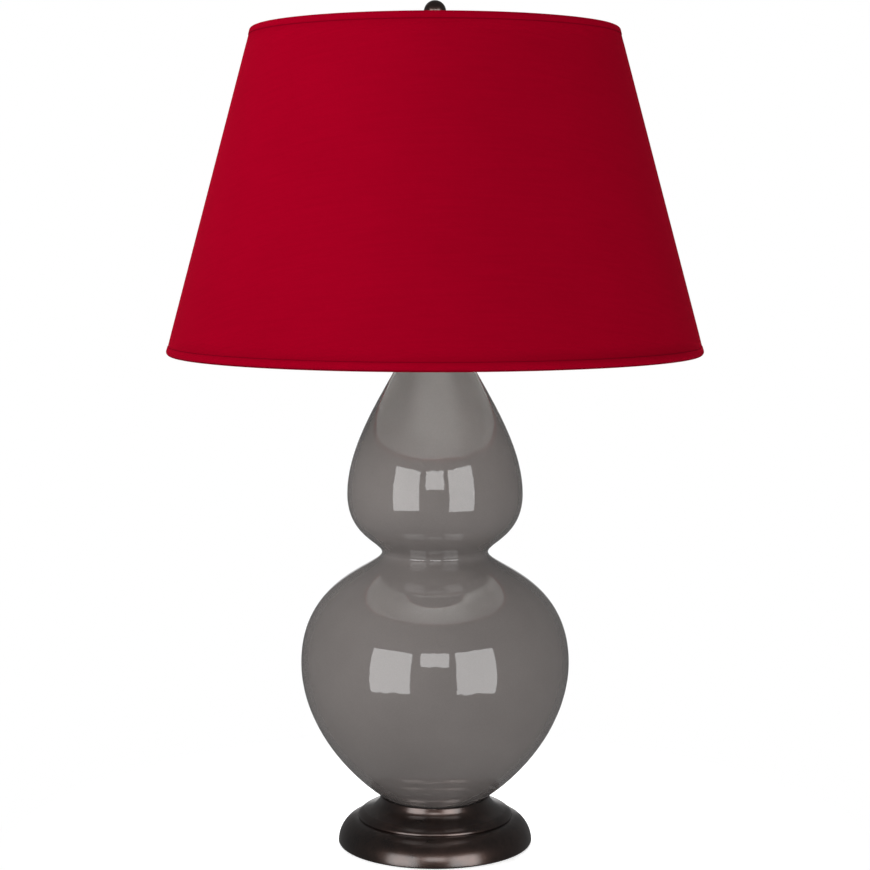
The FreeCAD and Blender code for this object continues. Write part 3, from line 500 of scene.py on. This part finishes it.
class LAMP_OT_bulb(Operator):
    """Make the bulb's threaded cap and insulator, and finish its glass"""
    bl_idname = "lamp.bulb"
    bl_label = "Bulb"

    def execute(self, context):
        parts = look(context)[2]
        # Pressed aluminium, as bright as it left the tool
        aluminium = metal("pressed_aluminium", parts.aluminium, linear("#A9ACAF"), 0.24, 6 * MM)
        dress(aluminium, ["bulb_tip"])
        # Black glass insulator, moulded round the centre contact
        insulator = plain("black_glass", linear("#141416"), linear("#0B0B0D"), {"Roughness": 0.12},
                          2.0 * MM, 0.01 * MM)
        # Soda-lime glass with a white powder inside: milky and soft
        glass = plain("frosted_soda_lime", linear("#F6F5F0"), linear("#F1F0EA"), {
            "Roughness": 0.3, "IOR": 1.52, "Transmission Weight": 0.3}, 1.5 * MM, 0.005 * MM)
        dress(glass, ["bulb_glass"])

        low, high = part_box("bulb_cap")
        outer = high.x
        inner = outer - 1.5 * MM
        brim = 0.3 * MM
        start = low.z + 2.6 * MM
        ribs = thread(outer, parts.bulb_depth, parts.bulb_pitch, start, high.z - 3.0 * MM)
        crown = [circle(outer, high.z - brim, ROUND), circle(outer - brim, high.z, ROUND),
                 circle(inner, high.z, ROUND), circle(inner, start, ROUND)]
        cap = piece("bulb_cap_thread", *around(ribs + crown), aluminium, "light_bulb", "bulb_metal")
        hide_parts("bulb_cap")

        # The glass flares from the contact out to the first turn of the thread
        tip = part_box("bulb_tip")[1].x
        cone = [(tip - 1.0 * MM, low.z), (tip + 0.6 * MM, low.z), (0.62 * outer, low.z + 0.9 * MM),
                (0.82 * outer, low.z + 1.9 * MM), (outer - 0.9 * MM, start + 0.1 * MM),
                (outer - 1.8 * MM, start + 0.4 * MM), (tip - 1.0 * MM, low.z + 0.8 * MM)]
        piece("bulb_insulator", *turned(cone, ROUND), insulator, "light_bulb", "phenolic")
        return {"FINISHED"}


# Rows of the cloth's path, from its tail inside the shade to the middle of its outside
SLOT_ROWS = 8  # the tail and the part of the roll that the arms come through
SHOULDER_ROW = 11  # where the roll turns to the outside
OUTSIDE_ROW = 15  # where the roll ends and the outside starts
TRIM_ROW = 17  # the foot of the trim


def cloth_path(shade, roll, slant):
    """Half of the cloth's section, as steps along the slant from a wire and out from its middle: the
    tail inside, the roll over the wire, the trim and the outside down to the middle."""
    face = roll - shade.trim_rise
    path = [(shade.hem, 0.0), (0.66 * shade.hem, -0.33 * roll), (0.33 * shade.hem, -0.66 * roll)]
    path += [(-roll * math.sin(t), -roll * math.cos(t)) for t in [math.pi * k / 12 for k in range(13)]]
    path += [(shade.trim_width, roll), (shade.trim_width + 0.15 * MM, face)]
    run = slant / 2 - shade.trim_width
    return path + [(shade.trim_width + run * k / 12, face) for k in range(1, 13)]


def lap_rise(shade, side):
    """How far the cloth stands up that far to the side of the lap's middle: it lies over its own other
    edge and sinks back to it."""
    if side < -0.49 * shade.lap or side > 0.9 * shade.lap:
        return 0.0
    return 0.6 * MM * min(1.0, (shade.lap - side) / (0.75 * shade.lap))


def braze(reach, height, size, arm, number):
    """Points and faces of one lumpy collar of filler round an arm."""
    rows = 9
    count = 20
    along = Vector((math.cos(arm), math.sin(arm), 0))
    across = Vector((-math.sin(arm), math.cos(arm), 0))
    centre = Vector((reach * math.cos(arm), reach * math.sin(arm), height))
    rings = []
    for k in range(rows):
        t = math.pi * (k + 0.5) / rows
        ring = []
        for i in range(count):
            a = TURN * i / count
            place = Vector((4 * t, 2 * math.cos(a) + number, 2 * math.sin(a)))
            r = size * math.sin(t) * (1 + 0.12 * noise.noise(place))
            up = Vector((0, 0, 0.85 * r * math.sin(a)))
            back = along * (0.9 * size * math.cos(t))
            ring.append(tuple(centre - back + across * (r * math.cos(a)) + up))
        rings.append(ring)
    points, faces = around(rings, closed=False)
    last = (rows - 1) * count
    return points, faces + [tuple(range(count - 1, -1, -1)), tuple(range(last, last + count))]


class LAMP_OT_shade(Operator):
    """Cut the shade's cloth, roll it round both wires, lap it down the back and trim its edges"""
    bl_idname = "lamp.shade"
    bl_label = "Shade Cloth"

    def execute(self, context):
        shade = look(context)[0]
        wires = [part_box("top_ring"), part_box("bottom_ring")]
        wire_r = (wires[0][1].z - wires[0][0].z) / 2
        (top_r, top_z), (low_r, low_z) = [(high.x - wire_r, low.z + wire_r) for low, high in wires]
        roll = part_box("shade_cover")[1].x - low_r
        slant = math.hypot(low_r - top_r, top_z - low_z)
        down = ((low_r - top_r) / slant, (low_z - top_z) / slant)
        out = (-down[1], down[0])
        path = cloth_path(shade, roll, slant)
        upper = [(top_r + a * down[0] + b * out[0], top_z + a * down[1] + b * out[1]) for a, b in path]
        lower = [(low_r - a * down[0] + b * out[0], low_z - a * down[1] + b * out[1]) for a, b in path[:-1]]
        line = upper + lower[::-1]
        outside = range(OUTSIDE_ROW, len(line) - OUTSIDE_ROW)

        # Columns stand at an angle, some of them a fixed distance to the side of it. Plain columns
        # that would crowd those are left out.
        steps = 240
        crowded = 0.004  # radians
        half_slot = 2.3 * MM
        arms = [math.pi / 2 + TURN * k / 3 for k in range(3)]
        lap_at = math.pi / 2 + 0.12
        special = [(a % TURN, side) for a in arms for side in (-half_slot, half_slot)]
        special += [(lap_at, x * shade.lap) for x in (-0.5, -0.47, 0.25, 1.0)]
        columns = [(TURN * k / steps, 0.0) for k in range(steps)]
        columns = sorted(columns + special, key=lambda c: c[0] + c[1] / top_r)
        clear = [c for c in columns if c in special or min(
            abs(c[0] - s[0] - s[1] / r) for s in special for r in (top_r, low_r)) > crowded]

        # The flat cut is a sector, and its threads run straight across it
        share = down[0]
        distance = [0.0]
        for (r0, z0), (r1, z1) in zip(line, line[1:]):
            distance.append(distance[-1] + math.hypot(r1 - r0, z1 - z0))
        middle = len(line) // 2
        start = line[middle][0] / share - distance[middle]
        # Painted shadow hairlines are drawn along these fold and trim rows
        folds = [row for k in (SHOULDER_ROW, TRIM_ROW) for row in (k, len(line) - 1 - k)]
        cloth = percale(shade, lap_at, [start + distance[row] for row in folds])
        points = []
        flat = []
        for row, (r, z) in enumerate(line):
            for angle, side in clear:
                turn = angle + side / r
                rise = 0.0
                beside = (turn - lap_at) * r
                if row in outside and abs(beside) < 1.2 * shade.lap:
                    rise = lap_rise(shade, beside)
                points.append(((r + rise) * math.cos(turn), (r + rise) * math.sin(turn), z))
                flat.append((start + distance[row], (turn - lap_at) % TURN * share))

        # The slots for the arms are left open
        slots = [a % TURN for a in arms]
        open_at = [i for i, (angle, side) in enumerate(clear)
                   if side in (-half_slot, 0.0) and any(abs(angle - s) < 1e-6 for s in slots)]
        faces = []
        count = len(clear)
        for row in range(len(line) - 1):
            for i in range(count):
                j = (i + 1) % count
                if row >= SLOT_ROWS or i not in open_at:
                    above = row * count
                    below = above + count
                    faces.append((above + i, above + j, below + j, below + i))
        made = piece("shade_cloth", points, faces, cloth, "lamp_shade", "shade_fabric")
        cut = made.data.uv_layers.new(name="cut")
        half_turn = math.pi * share
        for polygon in made.data.polygons:
            corners = [(k, *flat[made.data.loops[k].vertex_index]) for k in polygon.loop_indices]
            turns = [turn for k, radius, turn in corners]
            wraps = max(turns) - min(turns) > half_turn
            for k, radius, turn in corners:
                if wraps and turn < half_turn:
                    turn += 2 * half_turn
                cut.data[k].uv = (radius * math.sin(turn - half_turn), radius * math.cos(turn - half_turn))
        thick = made.modifiers.new("cloth", "SOLIDIFY")
        thick.thickness = shade.cloth
        thick.offset = -1
        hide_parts("shade_cover")

        # Each arm is brazed to the washer and to the top wire
        hub_low, hub_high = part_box("spider_washer")
        hub_z = (hub_low.z + hub_high.z) / 2
        joints = []
        for number, arm in enumerate(arms):
            joints.append(braze(hub_high.x + 0.3 * MM, hub_z, 2.0 * MM, arm, number))
            joints.append(braze(top_r - 0.6 * MM, top_z, 1.75 * MM, arm, number))
        zinc = bpy.data.materials["zinc_plate"]
        piece("spider_braze", *gathered(joints), zinc, "lamp_shade", "zinc_steel")
        return {"FINISHED"}


# ---------------------------------------------------------------- studio

def soft_box(name, place, aim, size, brightness, grid=None):
    """A rectangular studio light that faces the point it lights. Brightness is what a mirror shows of
    it. A grid in front narrows the beam to that many degrees and keeps the box out of reflections."""
    data = bpy.data.lights.new(name, "AREA")
    data.shape = "RECTANGLE"
    data.size, data.size_y = size
    data.energy = brightness * size[0] * size[1] * math.pi
    made = bpy.data.objects.new(name, data)
    made.location = place
    made.rotation_euler = (Vector(aim) - Vector(place)).to_track_quat("-Z", "Y").to_euler()
    made.visible_camera = False
    if grid:
        data.spread = math.radians(grid)
        made.visible_glossy = False
    bpy.context.scene.collection.objects.link(made)


def toward(azimuth, elevation, distance, height):
    """A point seen from the axis at a height, in degrees round from the front and up from level."""
    turn, rise = math.radians(azimuth), math.radians(elevation)
    return (distance * math.sin(turn), -distance * math.cos(turn), height + distance * math.tan(rise))


class LAMP_OT_studio(Operator):
    """Set the camera, the floor, the soft boxes and the white surroundings"""
    bl_idname = "lamp.studio"
    bl_label = "Studio"

    def execute(self, context):
        studio = look(context)[3]
        scene = context.scene
        camera = bpy.data.cameras.new("portrait")
        camera.lens = studio.lens
        eye = bpy.data.objects.new("portrait", camera)
        eye.location = (0, -studio.camera_back, studio.camera_height)
        eye.rotation_euler = (math.pi / 2 - studio.camera_tilt, 0, 0)
        scene.collection.objects.link(eye)
        scene.camera = eye
        scene.view_settings.view_transform = "Standard"

        # The camera sees white all round. Gloss and glass see the same white as a backdrop behind the lamp,
        # between the studio's grey walls, which also fill the shadows.
        world = bpy.data.worlds.new("studio")
        scene.world = world
        world.use_nodes = True
        tree = world.node_tree
        tree.nodes.clear()
        rays = node(tree, "ShaderNodeLightPath")
        way = node(tree, "ShaderNodeTexCoord")
        axes = node(tree, "ShaderNodeSeparateXYZ", {0: way.outputs["Generated"]})
        backdrop = node(tree, "ShaderNodeMapRange", {
            "Value": axes.outputs["Y"], "From Min": 0.975, "From Max": 1.0}, interpolation_type="SMOOTHSTEP")
        camera_ray = rays.outputs["Is Camera Ray"]
        gloss_or_glass = {0: rays.outputs["Is Glossy Ray"], 1: rays.outputs["Is Transmission Ray"]}
        gloss = node(tree, "ShaderNodeMath", gloss_or_glass, operation="MAXIMUM")
        walls = node(tree, "ShaderNodeMapRange", {
            "Value": gloss, "To Min": studio.fill, "To Max": studio.walls})
        behind = node(tree, "ShaderNodeMath", {0: gloss, 1: backdrop}, operation="MULTIPLY")
        seen = node(tree, "ShaderNodeMath", {0: camera_ray, 1: behind}, operation="MAXIMUM")
        level = node(tree, "ShaderNodeMapRange", {"Value": seen, "To Min": walls, "To Max": 1.0})
        sky = node(tree, "ShaderNodeBackground", {"Color": (1, 1, 1, 1), "Strength": level})
        node(tree, "ShaderNodeOutputWorld", {"Surface": sky})

        # Matt white floor: it keeps the lamp's soft shadow and turns as white as the surround further out
        floor_mesh = bpy.data.meshes.new("floor")
        floor_mesh.from_pydata(circle(3.0, 0, studio.floor_steps), [], [tuple(range(studio.floor_steps))])
        floor = bpy.data.objects.new("floor", floor_mesh)
        scene.collection.objects.link(floor)
        floor.visible_glossy = False
        paint = bpy.data.materials.new("matt_white_floor")
        paint.use_nodes = True
        tree = paint.node_tree
        tree.nodes.clear()
        camera_ray = node(tree, "ShaderNodeLightPath").outputs["Is Camera Ray"]
        at = node(tree, "ShaderNodeTexCoord").outputs["Object"]
        reach = node(tree, "ShaderNodeVectorMath", {0: at}, operation="LENGTH").outputs["Value"]
        shadow_r = 0.12
        white_r = 0.42
        far = node(tree, "ShaderNodeMapRange", {
            "Value": reach, "From Min": shadow_r, "From Max": white_r}, interpolation_type="SMOOTHSTEP")
        seen = node(tree, "ShaderNodeMath", {0: camera_ray, 1: far}, operation="MULTIPLY")
        matt = node(tree, "ShaderNodeBsdfDiffuse", {"Color": (0.8, 0.8, 0.8, 1)})
        lift = node(tree, "ShaderNodeMath", {0: camera_ray, 1: 0.62}, operation="MULTIPLY")
        glow = node(tree, "ShaderNodeEmission", {"Color": (1, 1, 1, 1), "Strength": lift})
        near_look = node(tree, "ShaderNodeAddShader", {0: matt, 1: glow})
        white = node(tree, "ShaderNodeEmission", {"Color": (1, 1, 1, 1), "Strength": 1.0})
        both = node(tree, "ShaderNodeMixShader", {0: seen, 1: near_look, 2: white})
        node(tree, "ShaderNodeOutputMaterial", {"Surface": both})
        floor_mesh.materials.append(paint)

        # Two tall windows of light to the front left and right and a small one over the camera. Gridded
        # soft boxes light the shade's sides, mostly the left one, and its lining from behind and above.
        middle = (0, 0, 0.28)
        over = (0, 0, 0.66)
        soft_box("window_left", toward(-38, 3, 4.4, 0.28), middle, (2.84, 3.24), studio.window)
        soft_box("window_right", toward(35, 3, 4.4, 0.28), middle, (2.72, 3.40), studio.window)
        soft_box("window_middle", toward(0, 16, 4.4, 0.28), middle, (1.90, 1.20), studio.window)
        soft_box("side_left", toward(-78, 20, 1.8, 0.66), over, (0.6, 0.5), studio.side, grid=50)
        soft_box("side_right", toward(100, 20, 1.8, 0.5), (0, 0, 0.5), (0.6, 0.5),
                 studio.side_share * studio.side, grid=70)
        soft_box("hair_light", toward(180, 40, 1.6, 0.7), (0, 0, 0.7), (1.2, 0.8), studio.hair, grid=60)
        return {"FINISHED"}


class LAMP_PT_panel(Panel):
    """Sizes, colours and steps of the lamp"""
    bl_idname = "LAMP_PT_panel"
    bl_label = "Double Gourd Lamp"
    bl_space_type = "VIEW_3D"
    bl_region_type = "UI"
    bl_category = "Lamp"

    def draw(self, context):
        for settings in look(context):
            box = self.layout.box()
            for name in settings.bl_rna.properties.keys():
                if name not in ("rna_type", "name"):
                    box.prop(settings, name)
        for step in STEPS:
            self.layout.operator(step.bl_idname)


STEPS = (LAMP_OT_studio, LAMP_OT_body, LAMP_OT_fittings, LAMP_OT_bulb, LAMP_OT_shade)
GROUPS = {"lamp_shade_look": LampShadeLook, "lamp_body_look": LampBodyLook,
          "lamp_fitting_look": LampFittingLook, "lamp_studio": LampStudio}


def register():
    for kind in (*GROUPS.values(), *STEPS, LAMP_PT_panel):
        bpy.utils.register_class(kind)
    for name, kind in GROUPS.items():
        setattr(bpy.types.Scene, name, PointerProperty(type=kind))


def unregister():
    for name in GROUPS:
        delattr(bpy.types.Scene, name)
    for kind in (LAMP_PT_panel, *reversed(STEPS), *reversed(list(GROUPS.values()))):
        bpy.utils.unregister_class(kind)


def main():
    register()
    bpy.ops.lamp.studio()
    bpy.ops.lamp.body()
    bpy.ops.lamp.fittings()
    bpy.ops.lamp.bulb()
    bpy.ops.lamp.shade()


if __name__ == "__main__":
    main()
